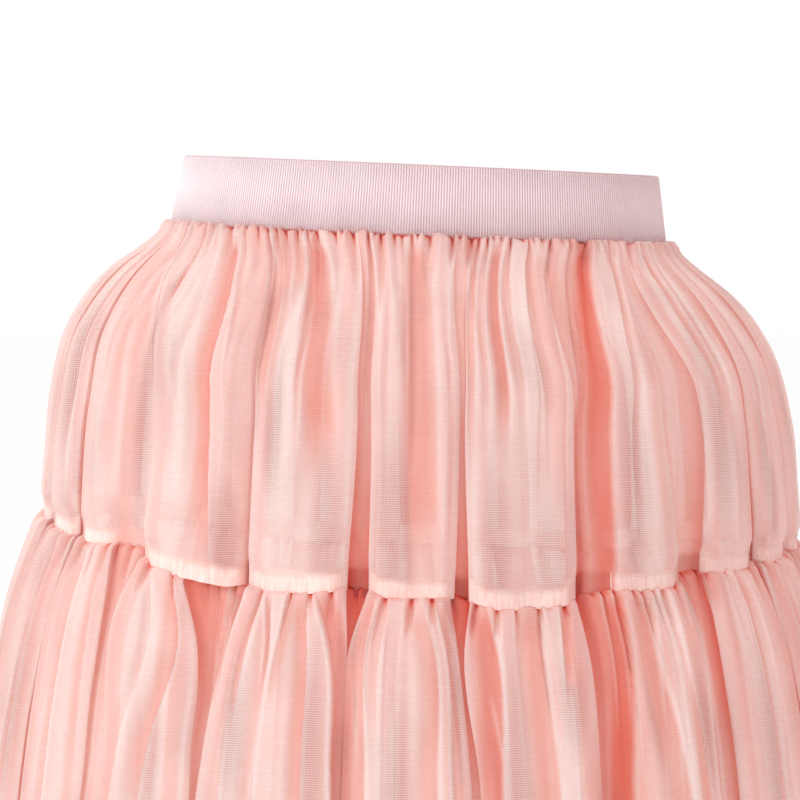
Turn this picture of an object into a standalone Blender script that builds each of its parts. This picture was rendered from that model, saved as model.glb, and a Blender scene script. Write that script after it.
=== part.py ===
"""A short skirt of gathered tulle in two tiers, on a wide ribbed elastic waistband.

It is built as worn, hollow and open at waist and hem. +X is the wearer's left, -Y the front, +Z up,
and the origin is the middle of the waist. The tiers are cut as a front and a back, joined at the
side seams (X-Z plane). Each cloth wall is lofted through level rings. A ring is an oval with a row of
soft folds standing out of it, and the folds grow out of fine pleats at the band.
"""
import math

import bmesh
import bpy
from mathutils import Vector

# Cloth
BAND_WALL = 0.0020       # woven elastic
TULLE_WALL = 0.0012      # one gathered layer of tulle
ALLOWANCE_WALL = 0.0010  # raw edges of the tier seam, pressed up inside
SEAM_GAP = 0.0003        # between neighbours at every seam

# Waistband: an elastic that is a little wider at its lower edge
BAND_TOP_Z = 0.0195
BAND_LOW_Z = -0.0195
BAND_TOP_HALF_WIDTH, BAND_TOP_HALF_DEPTH = 0.1350, 0.0980
BAND_LOW_HALF_WIDTH, BAND_LOW_HALF_DEPTH = 0.1412, 0.1042
BAND_COLUMNS = 72

# Tiers
UPPER_DROP = 0.1940      # band to tier seam, at the front
LOWER_DROP = 0.2400      # tier seam to hem
SIDE_LIFT = 0.0240       # how much higher the tier seam sits at the hips
HEM_LIFT = 0.0120        # the same for the hem
WORN_TILT = 0.0440       # worn a little lower on the +X hip: fall in height for each metre of X
ALLOWANCE_HEIGHT = 0.0120

# Rings of the upper tier: how far down from band to tier seam (0-1), the oval, how far the folds
# stand out, how far the fine pleats have merged into the broad folds (0-1), and how far the folds
# have spread over the gaps between them (0-1)
RING_COLUMNS = ("down", "half_width", "half_depth", "stand", "merged", "spread")
UPPER_RINGS = (
    (0.000, 0.1408, 0.1036, 0.10, 0.00, 0.00),
    (0.050, 0.1560, 0.1120, 0.22, 0.10, 0.00),
    (0.150, 0.1800, 0.1270, 0.42, 0.30, 0.00),
    (0.320, 0.1930, 0.1410, 0.62, 0.60, 0.00),
    (0.560, 0.1980, 0.1520, 0.82, 0.85, 0.00),
    (0.800, 0.2020, 0.1610, 0.96, 1.00, 0.00),
    (1.000, 0.2040, 0.1660, 1.00, 1.00, 0.00),
)
# Rings of the lower tier, from tier seam to hem
LOWER_RINGS = (
    (0.000, 0.2040, 0.1660, 1.00, 1.00, 0.00),
    (0.090, 0.2130, 0.1750, 1.12, 1.00, 0.35),
    (0.280, 0.2250, 0.1870, 1.25, 1.00, 0.60),
    (0.520, 0.2340, 0.1960, 1.30, 1.00, 0.65),
    (0.760, 0.2410, 0.2030, 1.35, 1.00, 0.65),
    (1.000, 0.2470, 0.2090, 1.40, 1.00, 0.65),
)

# Broad folds round the ring, in degrees from the front towards +X, with how far each stands out
FOLD_COLUMNS = ("start", "end", "stands")
FOLDS = (
    (-87.5, -76.0, 0.014), (-73.5, -63.0, 0.015), (-61.0, -51.5, 0.015), (-44.0, -26.6, 0.020),
    (-25.4, -10.5, 0.019), (-7.4, 4.2, 0.018), (7.8, 22.5, 0.021), (28.0, 40.5, 0.019),
    (46.0, 58.0, 0.017), (60.5, 73.0, 0.015), (75.5, 87.5, 0.015),
    (93.0, 108.5, 0.016), (111.5, 126.5, 0.018), (129.5, 143.5, 0.016),
    (147.0, 162.5, 0.019), (165.5, 178.0, 0.017), (182.0, 198.0, 0.018), (200.5, 214.0, 0.019),
    (218.0, 233.5, 0.017), (236.5, 251.0, 0.018), (254.0, 267.0, 0.015),
)
# How one broad fold stands out along its width, and how the pleats it grows from do
PROFILE_COLUMNS = ("along", "broad", "pleats")
PROFILE = (
    (0.00, 0.00, 0.00),
    (0.13, 0.70, 0.80),
    (0.36, 1.00, 0.35),
    (0.64, 0.96, 0.95),
    (0.87, 0.66, 0.60),
    (1.00, 0.00, 0.00),
)
RECESS = -0.16           # the middle of the gap between two broad folds, in shares of their stand


def rows(table, columns):
    """Yield the rows of a table with their columns named."""
    for values in table:
        yield dict(zip(columns, values))


def stations(low, high, spread):
    """List (degrees, broad stand, pleat stand) round the ring between two side seams."""
    folds = [f for f in rows(FOLDS, FOLD_COLUMNS) if low < f["start"] < high]
    found = [(low, 0.0, 0.0)]
    for i, fold in enumerate(folds):
        before = low if i == 0 else folds[i - 1]["end"]
        after = folds[i + 1]["start"] if i + 1 < len(folds) else high
        start = fold["start"] - spread * (fold["start"] - before) / 2
        width = fold["end"] + spread * (after - fold["end"]) / 2 - start
        for p in rows(PROFILE, PROFILE_COLUMNS):
            found.append((start + width * p["along"],
                          fold["stands"] * p["broad"], fold["stands"] * p["pleats"]))
        if i + 1 < len(folds) and folds[i + 1]["start"] - fold["end"] > 1.0:
            middle = (fold["end"] + folds[i + 1]["start"]) / 2
            depth = RECESS * fold["stands"]
            found.append((middle, depth, depth))
    found.append((high, 0.0, 0.0))
    return found


def ring(row, low, high, height):
    """Points of one ring from side seam to side seam; height(degrees) gives the z of its points."""
    points = []
    for degrees, broad, pleats in stations(low, high, row["spread"]):
        angle = math.radians(degrees)
        stand = row["stand"] * (row["merged"] * broad + (1 - row["merged"]) * pleats)
        outward = Vector((math.sin(angle) / row["half_width"], -math.cos(angle) / row["half_depth"], 0))
        place = Vector((row["half_width"] * math.sin(angle), -row["half_depth"] * math.cos(angle), 0))
        place += outward.normalized() * stand
        place.z = height(degrees) - WORN_TILT * place.x
        points.append(place)
    return points


def seam_height(degrees):
    """Height of the seam between the tiers."""
    return BAND_LOW_Z - UPPER_DROP + SIDE_LIFT * math.sin(math.radians(degrees)) ** 2


def hem_height(degrees):
    """Height of the hem."""
    return (BAND_LOW_Z - UPPER_DROP - LOWER_DROP
            + HEM_LIFT * math.sin(math.radians(degrees)) ** 2)


def normals(grid):
    """Outward unit normals of a grid of rings that run in the sense of growing degrees."""
    result = []
    for i, line in enumerate(grid):
        found = []
        for j, _ in enumerate(line):
            along = line[min(j + 1, len(line) - 1)] - line[max(j - 1, 0)]
            down = grid[min(i + 1, len(grid) - 1)][j] - grid[max(i - 1, 0)][j]
            if j in (0, len(line) - 1):
                along = Vector((0.0, -1.0 if line[j].x < 0 else 1.0, 0.0))
            found.append(down.cross(along).normalized())
        result.append(found)
    return result


def moved_in(grid, facing, distance):
    """The grid moved inwards along its normals."""
    return [[p - n * distance for p, n in zip(line, turn)] for line, turn in zip(grid, facing)]


def add_solid(name, outer, inner, colour, roughness, closed=False):
    """One closed cloth wall between an outer and an inner grid of points."""
    mesh = bpy.data.meshes.new(name)
    shape = bmesh.new()
    out = [[shape.verts.new(p) for p in line] for line in outer]
    back = [[shape.verts.new(p) for p in line] for line in inner]
    levels, columns = len(out), len(out[0])
    steps = columns if closed else columns - 1

    def face(*corners):
        shape.faces.new(corners)

    for j in range(steps):
        k = (j + 1) % columns
        for i in range(levels - 1):
            face(out[i][j], out[i + 1][j], out[i + 1][k], out[i][k])
            face(back[i][j], back[i][k], back[i + 1][k], back[i + 1][j])
        face(out[0][k], back[0][k], back[0][j], out[0][j])
        face(out[-1][j], back[-1][j], back[-1][k], out[-1][k])
    if not closed:
        for i in range(levels - 1):
            face(out[i][0], back[i][0], back[i + 1][0], out[i + 1][0])
            face(out[i][-1], out[i + 1][-1], back[i + 1][-1], back[i][-1])
    bmesh.ops.recalc_face_normals(shape, faces=shape.faces)
    bmesh.ops.triangulate(shape, faces=shape.faces)
    shape.to_mesh(mesh)
    shape.free()
    material = bpy.data.materials.new(name)
    material.use_nodes = True
    surface = material.node_tree.nodes["Principled BSDF"]
    surface.inputs["Base Color"].default_value = colour
    surface.inputs["Roughness"].default_value = roughness
    mesh.materials.append(material)
    thing = bpy.data.objects.new(name, mesh)
    bpy.context.scene.collection.objects.link(thing)
    return thing


def add_waistband():
    """The elastic: an oval ring, narrower at its upper edge and tilted as worn."""
    sizes = ((BAND_TOP_Z, BAND_TOP_HALF_WIDTH, BAND_TOP_HALF_DEPTH),
             (BAND_LOW_Z, BAND_LOW_HALF_WIDTH, BAND_LOW_HALF_DEPTH))
    walls = []
    for inset in (0.0, BAND_WALL):
        grid = []
        for z, half_width, half_depth in sizes:
            line = []
            for j in range(BAND_COLUMNS):
                turn = 2 * math.pi * j / BAND_COLUMNS
                x = (half_width - inset) * math.sin(turn)
                y = -(half_depth - inset) * math.cos(turn)
                line.append(Vector((x + WORN_TILT * z, y, z - WORN_TILT * x)))
            grid.append(line)
        walls.append(grid)
    add_solid("waistband", walls[0], walls[1], (0.83, 0.66, 0.68, 1), 0.75, closed=True)


def pulled_to_seam(grid, side):
    """Set the two end columns of a half just clear of the side seams."""
    for line in grid:
        for j in (0, -1):
            line[j].y = side * SEAM_GAP / 2
    return grid


def add_half(which, low, high, side):
    """Upper tier, lower tier and the seam allowance of one half of the skirt."""
    top = BAND_LOW_Z - SEAM_GAP
    upper = []
    for row in rows(UPPER_RINGS, RING_COLUMNS):
        upper.append(ring(row, low, high,
                          lambda d, r=row: top + (seam_height(d) - top) * r["down"]))
    lower = []
    for row in rows(LOWER_RINGS, RING_COLUMNS):
        lower.append(ring(row, low, high, lambda d, r=row: (seam_height(d) - SEAM_GAP)
                          + (hem_height(d) - seam_height(d)) * r["down"]))
    pulled_to_seam(upper, side)
    pulled_to_seam(lower, side)
    upper_facing, lower_facing = normals(upper), normals(lower)
    for facing, line in ((upper_facing, 0), (upper_facing, -1), (lower_facing, 0), (lower_facing, -1)):
        facing[line] = [Vector((n.x, n.y, 0)).normalized() for n in facing[line]]
    upper_in = moved_in(upper, upper_facing, TULLE_WALL)
    lower_in = moved_in(lower, lower_facing, TULLE_WALL)
    add_solid("upper_tier_" + which, upper, upper_in, (0.93, 0.52, 0.46, 1), 0.8)
    add_solid("lower_tier_" + which, lower, lower_in, (0.93, 0.56, 0.50, 1), 0.8)

    strip, strip_facing = [], []
    for share in (1.0, 0.0):
        line, turn = [], []
        for j, foot in enumerate(upper_in[-1]):
            run = upper_in[-2][j] - foot
            line.append(foot + run.normalized() * (ALLOWANCE_HEIGHT * share))
            turn.append(upper_facing[-1][j])
        strip.append(line)
        strip_facing.append(turn)
    outer = moved_in(strip, strip_facing, SEAM_GAP)
    inner = moved_in(strip, strip_facing, SEAM_GAP + ALLOWANCE_WALL)
    add_solid("tier_seam_" + which, outer, inner, (0.95, 0.74, 0.68, 1), 0.85)


for thing in list(bpy.data.objects):
    bpy.data.objects.remove(thing, do_unlink=True)

add_waistband()
add_half("front", -90.0, 90.0, -1)
add_half("back", 90.0, 270.0, 1)
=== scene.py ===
import math

import bmesh
import bpy
import numpy as np
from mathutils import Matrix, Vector


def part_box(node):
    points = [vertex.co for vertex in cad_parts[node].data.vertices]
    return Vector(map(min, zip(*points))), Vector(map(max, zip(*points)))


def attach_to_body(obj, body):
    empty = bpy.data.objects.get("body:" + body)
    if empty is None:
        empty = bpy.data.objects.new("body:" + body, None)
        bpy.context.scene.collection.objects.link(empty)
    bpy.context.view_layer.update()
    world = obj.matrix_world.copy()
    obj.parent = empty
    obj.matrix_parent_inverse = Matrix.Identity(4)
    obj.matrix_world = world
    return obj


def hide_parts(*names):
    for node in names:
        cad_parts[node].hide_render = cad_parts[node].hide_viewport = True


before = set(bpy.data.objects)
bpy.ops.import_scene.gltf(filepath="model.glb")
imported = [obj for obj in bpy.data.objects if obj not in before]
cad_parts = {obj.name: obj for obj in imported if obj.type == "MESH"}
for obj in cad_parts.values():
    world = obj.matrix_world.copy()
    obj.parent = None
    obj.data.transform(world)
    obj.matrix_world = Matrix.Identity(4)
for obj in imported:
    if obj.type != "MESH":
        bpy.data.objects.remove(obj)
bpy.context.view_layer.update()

# A two-tier gathered skirt of sheer pink tulle on a wide ribbed elastic waistband, shown as worn.
# +X is the wearer's left, -Y the front and +Z up; the origin is the middle of the waist. A place round
# the skirt is given in degrees from the middle of the front towards +X, and a height on a tier as a
# share of the way down it, from 0 at its gathered top edge to 1 at its lower edge.

# ---------------------------------------------------------------- sizes (metres, from the frame)
SEAM_GAP = 0.0003            # between neighbouring pieces
WORN_TILT = 0.0440           # fall in height for each metre of X
band_low, band_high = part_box("waistband")
BAND_HALF_WIDTH = (band_high.x - band_low.x) / 2          # at its lower edge
BAND_HALF_DEPTH = (band_high.y - band_low.y) / 2
BAND_EDGE_Z = 0.0195         # half the band's height
BAND_NARROWS = 0.0062        # how much smaller the band's upper edge is, all round
BAND_WALL = 0.0018
BAND_ROUND = 0.0006          # how far its edges are rounded over
UPPER_DROP = 0.1940
LOWER_DROP = 0.2400
SEAM_SIDE_LIFT = 0.0240
HEM_SIDE_LIFT = 0.0120
ALLOWANCE_HEIGHT = 0.0100
TUCK = 0.0016                # how far the lower tier's edge reaches up behind the stitch line
SIDE_OUT = 0.004             # how far the cloth stands out at a tier's side seams
SIDE_TONE = 0.4
BAND_SPREAD = 6.5            # degrees by which the gathers stand nearer the sides at the band

# Level rings of the tiers: share of the way down, and the half width and half depth of the oval that
# the folds stand out from
UPPER_RINGS = (
    (0.000, 0.1400, 0.1028),
    (0.050, 0.1488, 0.1100),
    (0.150, 0.1692, 0.1240),
    (0.320, 0.1890, 0.1400),
    (0.560, 0.1980, 0.1520),
    (0.800, 0.2020, 0.1610),
    (1.000, 0.2040, 0.1660),
)
LOWER_RINGS = (
    (0.000, 0.2034, 0.1654),
    (0.090, 0.2130, 0.1750),
    (0.280, 0.2250, 0.1870),
    (0.520, 0.2340, 0.1960),
    (0.760, 0.2410, 0.2030),
    (1.000, 0.2470, 0.2090),
)

# Broad folds of the upper tier's front. Each runs between two edges, given in degrees near the band,
# half way down and at the tier seam; it stands out by "out", its edges are turned under by
# "under_from" and "under_to" degrees, and the gap after it is deepened in colour by "gap_shade",
# which is painted shade. The marks are the shares of the way down that these places stand for (the
# band's for the first two), and "stands" is how much of "out" a fold stands out there.
UPPER_MARKS = (0.0, 0.09, 0.45, 1.0)
UPPER_STANDS = (0.0, 0.34, 0.82, 1.0)
FOLD_COLUMNS = ("band_from", "band_to", "middle_from", "middle_to", "low_from", "low_to",
                "out", "under_from", "under_to", "gap_shade")
UPPER_FRONT_FOLDS = (
    (-87.5, -77.0, -87.0, -76.6, -87.5, -76.0, 0.014, 1.0, 0.8, 0.5),
    (-74.5, -67.0, -74.0, -63.8, -73.5, -63.0, 0.015, 0.9, 1.0, 0.5),
    (-65.5, -58.2, -62.0, -50.5, -61.0, -51.5, 0.015, 0.8, 0.0, 0.1),
    (-56.5, -31.3, -45.2, -26.6, -44.0, -26.4, 0.020, 1.2, 0.0, 0.2),
    (-30.0, -11.4, -25.9, -9.4, -25.6, -10.5, 0.019, 1.3, 0.8, 0.8),
    (-9.0, 6.7, -7.4, 6.1, -7.4, 5.0, 0.018, 0.9, 1.2, 0.8),
    (9.2, 26.0, 6.9, 23.8, 7.0, 22.9, 0.021, 0.8, 1.2, 0.9),
    (33.6, 43.6, 25.6, 39.8, 24.6, 41.0, 0.019, 0.0, 1.1, 0.35),
    (46.5, 60.5, 48.2, 59.5, 46.0, 58.0, 0.017, 1.0, 0.9, 0.6),
    (63.0, 73.0, 61.5, 73.0, 60.5, 73.0, 0.015, 0.9, 0.9, 0.6),
    (75.5, 87.5, 75.5, 87.5, 75.5, 87.5, 0.015, 0.8, 0.9, 0.5),
)
# Lesser pleats and hollows that lie within the broad folds: where they run, how wide (degrees) and
# deep they are, where they begin and end, how much painted shade their troughs get (a standing ridge
# with a negative value gets a painted highlight), and which side is a sharp turned edge (-1 the side
# towards -X, 1 the side towards +X, 2 both, 0 neither)
PLEAT_COLUMNS = ("band_at", "middle_at", "low_at", "width", "depth", "begins", "ends", "tone", "sharp")
UPPER_FRONT_PLEATS = (
    (-70.6, -69.0, -68.5, 2.4, 0.0030, 0.00, 0.80, 0.50, -1),
    (-62.0, -55.2, -55.0, 3.6, 0.0022, 0.05, 1.00, 0.45, 0),
    (-50.2, -48.6, -46.0, 1.2, 0.0035, 0.00, 0.28, 0.80, -1),
    (-44.0, -39.5, -38.0, 1.6, 0.0012, 0.00, 0.85, 0.15, 1),
    (-38.5, -33.5, -31.4, 5.0, 0.0045, 0.03, 1.10, 0.75, 1),
    (-25.4, -22.4, -21.6, 1.4, 0.0012, 0.00, 0.80, 0.12, 1),
    (-20.3, -15.6, -14.6, 3.6, 0.0040, 0.02, 0.80, 0.78, 0),
    (-5.9, -4.9, -4.6, 1.2, 0.0012, 0.00, 0.90, 0.12, 1),
    (-0.4, 0.0, 0.5, 3.6, 0.0036, 0.02, 1.15, 0.68, 0),
    (4.6, 4.4, 3.4, 1.2, 0.0012, 0.30, 1.10, 0.25, -1),
    (15.4, 13.4, 12.4, 2.8, 0.0045, 0.01, 0.62, 0.85, 1),
    (24.0, 20.2, 18.9, 4.6, 0.0010, 0.03, 0.85, 0.30, 2),
    (29.8, 25.0, 24.0, 3.4, -0.0040, 0.00, 0.36, -0.60, 2),
    (35.6, 30.4, 29.0, 7.5, 0.0050, 0.00, 1.60, 0.82, 1),
    (41.0, 34.3, 32.9, 1.8, 0.0022, 0.00, 0.95, 0.45, -1),
    (52.8, 52.6, 51.6, 2.4, 0.0026, 0.00, 0.65, 0.55, -1),
    (56.8, 55.6, 55.0, 1.6, 0.0022, 0.00, 0.75, 0.35, 1),
    (68.0, 67.0, 66.5, 2.6, 0.0030, 0.00, 0.80, 0.50, 1),
    (81.0, 81.5, 82.0, 2.4, 0.0028, 0.00, 0.70, 0.45, -1),
)
# The same for the lower tier's front: just under the tier seam, a little lower, and down to the hem
LOWER_MARKS = (0.0, 0.10, 0.39, 1.0)
LOWER_STANDS = (0.80, 1.05, 1.22, 1.34)
LOWER_FOLD_COLUMNS = ("seam_from", "seam_to", "puff_from", "puff_to", "middle_from", "middle_to",
                      "hem_from", "hem_to", "out", "under_from", "under_to", "gap_shade")
LOWER_FRONT_FOLDS = (
    (-87.5, -76.0, -87.8, -75.6, -88.0, -75.2, -88.0, -75.5, 0.014, 1.0, 1.2, 0.6),
    (-73.5, -63.0, -74.0, -62.6, -74.4, -62.2, -74.0, -62.8, 0.015, 1.2, 1.2, 0.6),
    (-61.0, -51.5, -61.8, -49.6, -61.4, -48.0, -62.0, -49.0, 0.015, 1.0, 1.6, 0.3),
    (-44.0, -36.6, -45.6, -32.2, -43.8, -29.8, -44.6, -30.2, 0.020, 1.6, 1.2, 0.6),
    (-25.6, -10.5, -26.8, -9.9, -28.4, -9.9, -29.0, -10.2, 0.019, 1.6, 1.4, 1.0),
    (-7.2, 4.4, -9.2, 5.0, -9.9, 6.4, -10.1, 6.8, 0.018, 1.3, 1.4, 1.0),
    (7.2, 22.5, 6.0, 23.0, 7.4, 23.0, 7.8, 23.4, 0.021, 1.4, 1.8, 0.9),
    (25.0, 41.4, 25.4, 41.6, 24.8, 40.6, 25.0, 41.0, 0.019, 0.0, 1.6, 0.6),
    (46.0, 58.0, 45.0, 59.0, 44.2, 59.4, 44.6, 59.0, 0.017, 1.3, 1.2, 0.7),
    (60.5, 73.0, 60.6, 73.6, 61.2, 73.8, 61.0, 74.0, 0.015, 1.1, 1.1, 0.6),
    (75.5, 87.5, 75.2, 87.8, 75.4, 88.0, 75.8, 87.8, 0.015, 1.0, 1.0, 0.5),
)
LOWER_PLEAT_COLUMNS = ("seam_at", "puff_at", "middle_at", "hem_at", "width", "depth", "begins", "ends",
                       "tone", "sharp")
LOWER_FRONT_PLEATS = (
    (-81.6, -81.8, -82.0, -82.0, 2.6, 0.0035, 0.00, 0.80, 0.50, 1),
    (-68.0, -68.0, -68.4, -68.0, 2.6, 0.0035, 0.00, 1.10, 0.50, -1),
    (-56.5, -56.2, -55.6, -56.0, 3.0, 0.0035, 0.00, 0.90, 0.50, 1),
    (-41.5, -39.0, -40.6, -41.0, 1.6, 0.0015, 0.00, 0.90, 0.15, 1),
    (-37.8, -34.2, -36.2, -37.0, 3.6, 0.0035, 0.00, 0.62, 0.55, 1),
    (-22.0, -20.9, -21.4, -21.6, 1.0, 0.0020, 0.00, 0.22, 0.50, -1),
    (-21.3, -20.6, -20.9, -21.0, 2.4, 0.0026, 0.02, 1.10, 0.40, 1),
    (-16.5, -15.3, -14.9, -14.8, 2.4, 0.0036, 0.00, 0.65, 0.65, 1),
    (-14.9, -12.4, -11.0, -10.8, 4.2, 0.0040, 0.00, 1.10, 0.70, -1),
    (-6.1, -7.1, -6.9, -6.8, 2.6, 0.0020, 0.00, 1.10, 0.45, 1),
    (-3.1, -3.6, -3.8, -3.9, 1.8, 0.0008, 0.05, 1.10, 0.10, 2),
    (0.1, 1.7, 2.0, 2.1, 3.2, 0.0030, 0.02, 1.10, 0.55, 1),
    (2.2, 3.5, 4.2, 4.4, 1.4, 0.0015, 0.00, 0.70, 0.35, -1),
    (9.2, 10.2, 10.0, 9.8, 4.8, 0.0036, 0.00, 0.80, 0.80, 1),
    (17.0, 16.6, 17.2, 17.4, 4.8, 0.0030, 0.00, 1.20, 0.55, 1),
    (19.8, 19.3, 18.8, 18.6, 1.8, 0.0020, 0.00, 0.22, 0.60, -1),
    (29.6, 29.5, 27.6, 27.2, 6.5, 0.0045, 0.00, 1.30, 0.85, 1),
    (34.7, 33.6, 35.2, 35.7, 4.6, 0.0030, 0.00, 1.10, 0.60, 1),
    (36.9, 37.1, 38.1, 38.4, 2.0, 0.0020, 0.00, 1.10, 0.35, 1),
    (52.0, 52.0, 51.8, 52.0, 2.8, 0.0035, 0.00, 0.90, 0.50, -1),
    (66.8, 67.0, 67.4, 67.0, 2.8, 0.0035, 0.00, 1.10, 0.50, 1),
    (81.4, 81.6, 81.8, 82.0, 2.4, 0.0035, 0.00, 0.80, 0.50, -1),
)
# Places where one layer hangs clear and its mesh shows, greyed as painted shade of the hollow behind:
# degrees, half width, and share of the way down
UPPER_CLEAR = ((-69.0, 2.5, 0.50, 0.25), (-47.5, 2.0, 0.55, 0.40), (-29.2, 2.8, 0.88, 0.18),
               (-13.6, 2.8, 0.82, 0.24), (-22.0, 1.4, 0.55, 0.20), (-3.8, 2.9, 0.82, 0.28),
               (10.8, 2.8, 0.84, 0.26), (18.4, 2.8, 0.88, 0.20), (32.8, 2.8, 0.72, 0.32),
               (51.0, 3.0, 0.60, 0.30), (65.0, 2.5, 0.70, 0.25), (80.0, 3.0, 0.60, 0.30))
LOWER_CLEAR = ((-80.0, 3.0, 0.30, 0.20), (-66.0, 3.0, 0.40, 0.25), (-35.0, 1.6, 0.45, 0.20),
               (-24.0, 1.6, 0.30, 0.16), (-13.6, 1.7, 0.34, 0.26), (-8.6, 1.0, 0.20, 0.14),
               (-2.6, 2.0, 0.48, 0.32), (4.4, 1.0, 0.30, 0.20), (12.0, 1.9, 0.46, 0.34),
               (19.6, 1.8, 0.20, 0.12), (31.5, 1.6, 0.20, 0.16), (38.6, 1.4, 0.30, 0.14),
               (51.0, 3.0, 0.40, 0.24), (68.0, 2.6, 0.34, 0.22))
# How much the front of the tier seam rides above its plain level line
SEAM_LINE = ((-90, 0.0), (-62, -0.003), (-52, 0.000), (-48, 0.001), (-45, -0.002), (-41, -0.0035),
             (-34, -0.0045), (-27, -0.0055), (-22, -0.0035), (-14, 0.0), (0, 0.0), (5, -0.001),
             (9, -0.004), (21, -0.004), (25, -0.001), (30, 0.001), (36, 0.000), (41, -0.001),
             (45, 0.001), (50, 0.003), (65, 0.0), (90, 0.0),
             (120, 0.002), (150, -0.003), (175, 0.002), (200, -0.003), (225, 0.003), (250, -0.002),
             (270, 0.0))
# Broad folds of the back, where both tiers hang alike
BACK_FOLD_COLUMNS = ("from", "to", "out")
BACK_FOLDS = (
    (93.0, 108.5, 0.016), (111.5, 126.5, 0.018), (129.5, 143.5, 0.016), (147.0, 162.5, 0.019),
    (165.5, 178.0, 0.017), (182.0, 198.0, 0.018), (200.5, 214.0, 0.019), (218.0, 233.5, 0.017),
    (236.5, 251.0, 0.018), (254.0, 267.0, 0.015),
)


def rows(table, columns):
    """The rows of a table with their columns named."""
    return [dict(zip(columns, values)) for values in table]


def eased(low, high, value):
    """0 below low, 1 above high and an eased step between."""
    share = np.clip((value - low) / (high - low), 0.0, 1.0)
    return share * share * (3 - 2 * share)


def through(marks, values, at):
    """Smooth curve through values (one row for each mark), read at each of the places."""
    marks, values, at = (np.asarray(v, float) for v in (marks, values, at))
    flat = values.reshape(len(marks), -1)
    slope = np.gradient(flat, marks, axis=0)
    k = np.clip(np.searchsorted(marks, at, side="right") - 1, 0, len(marks) - 2)
    width = (marks[k + 1] - marks[k])[:, None]
    u = (at - marks[k])[:, None] / width
    read = ((1 + 2 * u) * (1 - u) ** 2 * flat[k] + u * (1 - u) ** 2 * width * slope[k]
            + u * u * (3 - 2 * u) * flat[k + 1] + u * u * (u - 1) * width * slope[k + 1])
    return read.reshape((len(at),) + values.shape[1:])


# ---------------------------------------------------------------- folds
# Half of a broad fold, from the gap in to its middle: share of its width, how far out, tone
# (0 pale single cloth; 1 coral, partly where it lies double and partly painted shade; 2 deep red,
# painted shade in a closed slit)
PROFILE_COLUMNS = ("along", "out", "tone")
# A turned side begins with a painted highlight at its edge; a sloping side begins with painted shade
# beside the gap
TURNED_SIDE = ((0.00, 0.62, -0.30), (0.06, 0.84, 0.02), (0.10, 0.94, 0.22), (0.20, 1.00, 0.20),
               (0.24, 1.00, 0.00))
SLOPING_SIDE = ((0.00, 0.40, 0.40), (0.16, 0.66, 0.25), (0.32, 0.92, 0.08))
MIDDLE_OUT, MIDDLE_TONE = 0.94, 0.03
UNDER_OUT = 0.75                    # of the way back to the recess behind


def stations(folds, low, high, stands, recess):
    """Stations round one half ring. Each is (degrees, metres out, tone) at every table level."""
    levels = len(stands)
    stands = np.array(stands)
    turn = np.minimum(stands * 1.2, 1.0) ** 1.5     # a turned edge needs a fold that stands out
    found = []

    def add(at, out, tone):
        found.append(np.stack([np.broadcast_to(np.asarray(v, float), (levels,))
                               for v in (at, out, tone)], axis=1))

    edges = [(np.full(levels, low), np.full(levels, low))]
    edges += [(np.array(f["from"]), np.array(f["to"])) for f in folds]
    add(low, SIDE_OUT * stands, SIDE_TONE)
    gap_shade = SIDE_TONE
    for fold, before in zip(folds, edges):
        start, end = np.array(fold["from"]), np.array(fold["to"])
        width, out = end - start, fold["out"] * stands
        gap_out = fold["out"] * recess["out"] * stands
        if before[1][0] > low:
            add((before[1] + start) / 2, gap_out, gap_shade * recess["tone"])
        sides = ((fold["under_from"], start, 1, gap_shade), (fold["under_to"], end, -1, fold["gap_shade"]))
        for under, edge, way, beside in sides:
            part = []
            if under:
                part.append((edge + way * under * turn, out + (gap_out - out) * UNDER_OUT,
                             (beside + 0.2) * recess["tone"]))
            shade = 1.0 if under else 1 + 2 * beside
            for p in rows(TURNED_SIDE if under else SLOPING_SIDE, PROFILE_COLUMNS):
                part.append((edge + way * width * p["along"], gap_out + (out - gap_out) * p["out"],
                             shade * p["tone"]))
            for at, rise, tone in part[::way]:
                add(at, rise, tone)
            if way == 1:
                add((start + end) / 2, MIDDLE_OUT * out, MIDDLE_TONE)
        gap_shade = fold["gap_shade"]
    add(high, SIDE_OUT * stands, SIDE_TONE)
    return np.stack(found)


def fold_edges(row, names):
    """A fold's two edges at every table level, from a table row."""
    return {"from": [row[n + "_from"] for n in names], "to": [row[n + "_to"] for n in names],
            "out": row["out"], "under_from": row["under_from"], "under_to": row["under_to"],
            "gap_shade": row["gap_shade"]}


def spread(crease):
    """The same fold or pleat with its top end moved round to where it leaves the band."""
    moved = dict(crease)
    for key in ("from", "to", "at"):
        if key in crease:
            places = np.array(crease[key], float)
            places[0] += BAND_SPREAD * math.sin(math.radians(2 * places[0]))
            moved[key] = places
    return moved


def back_folds(seed):
    """The back's broad folds, each leaning a little its own way."""
    chance = np.random.default_rng(seed)
    found = []
    for fold in rows(BACK_FOLDS, BACK_FOLD_COLUMNS):
        lean = np.array([1.6, 1.2, 0.5, 0.0]) * chance.uniform(-1, 1)
        found.append({"from": fold["from"] + lean, "to": fold["to"] + lean * chance.uniform(0.5, 1),
                      "out": fold["out"], "under_from": chance.uniform(0.8, 1.3),
                      "under_to": chance.uniform(0.8, 1.3), "gap_shade": chance.uniform(0.3, 1.0)})
    return found


def back_pleats(folds, seed):
    """Two or three lesser pleats in each of the back's folds, like those of the front."""
    chance = np.random.default_rng(seed)
    found = []
    for fold in folds:
        for share in (0.2, 0.5, 0.78)[:int(chance.integers(2, 4))]:
            at = np.array(fold["from"]) + (np.array(fold["to"]) - np.array(fold["from"])) * (
                share + chance.uniform(-0.06, 0.06))
            found.append({"at": at, "width": chance.uniform(0.9, 2.6),
                          "depth": chance.uniform(0.0018, 0.0055), "begins": 0.0,
                          "ends": chance.uniform(0.4, 1.1), "tone": chance.uniform(0.3, 0.95),
                          "sharp": int(chance.integers(-1, 2))})
    return found


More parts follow.
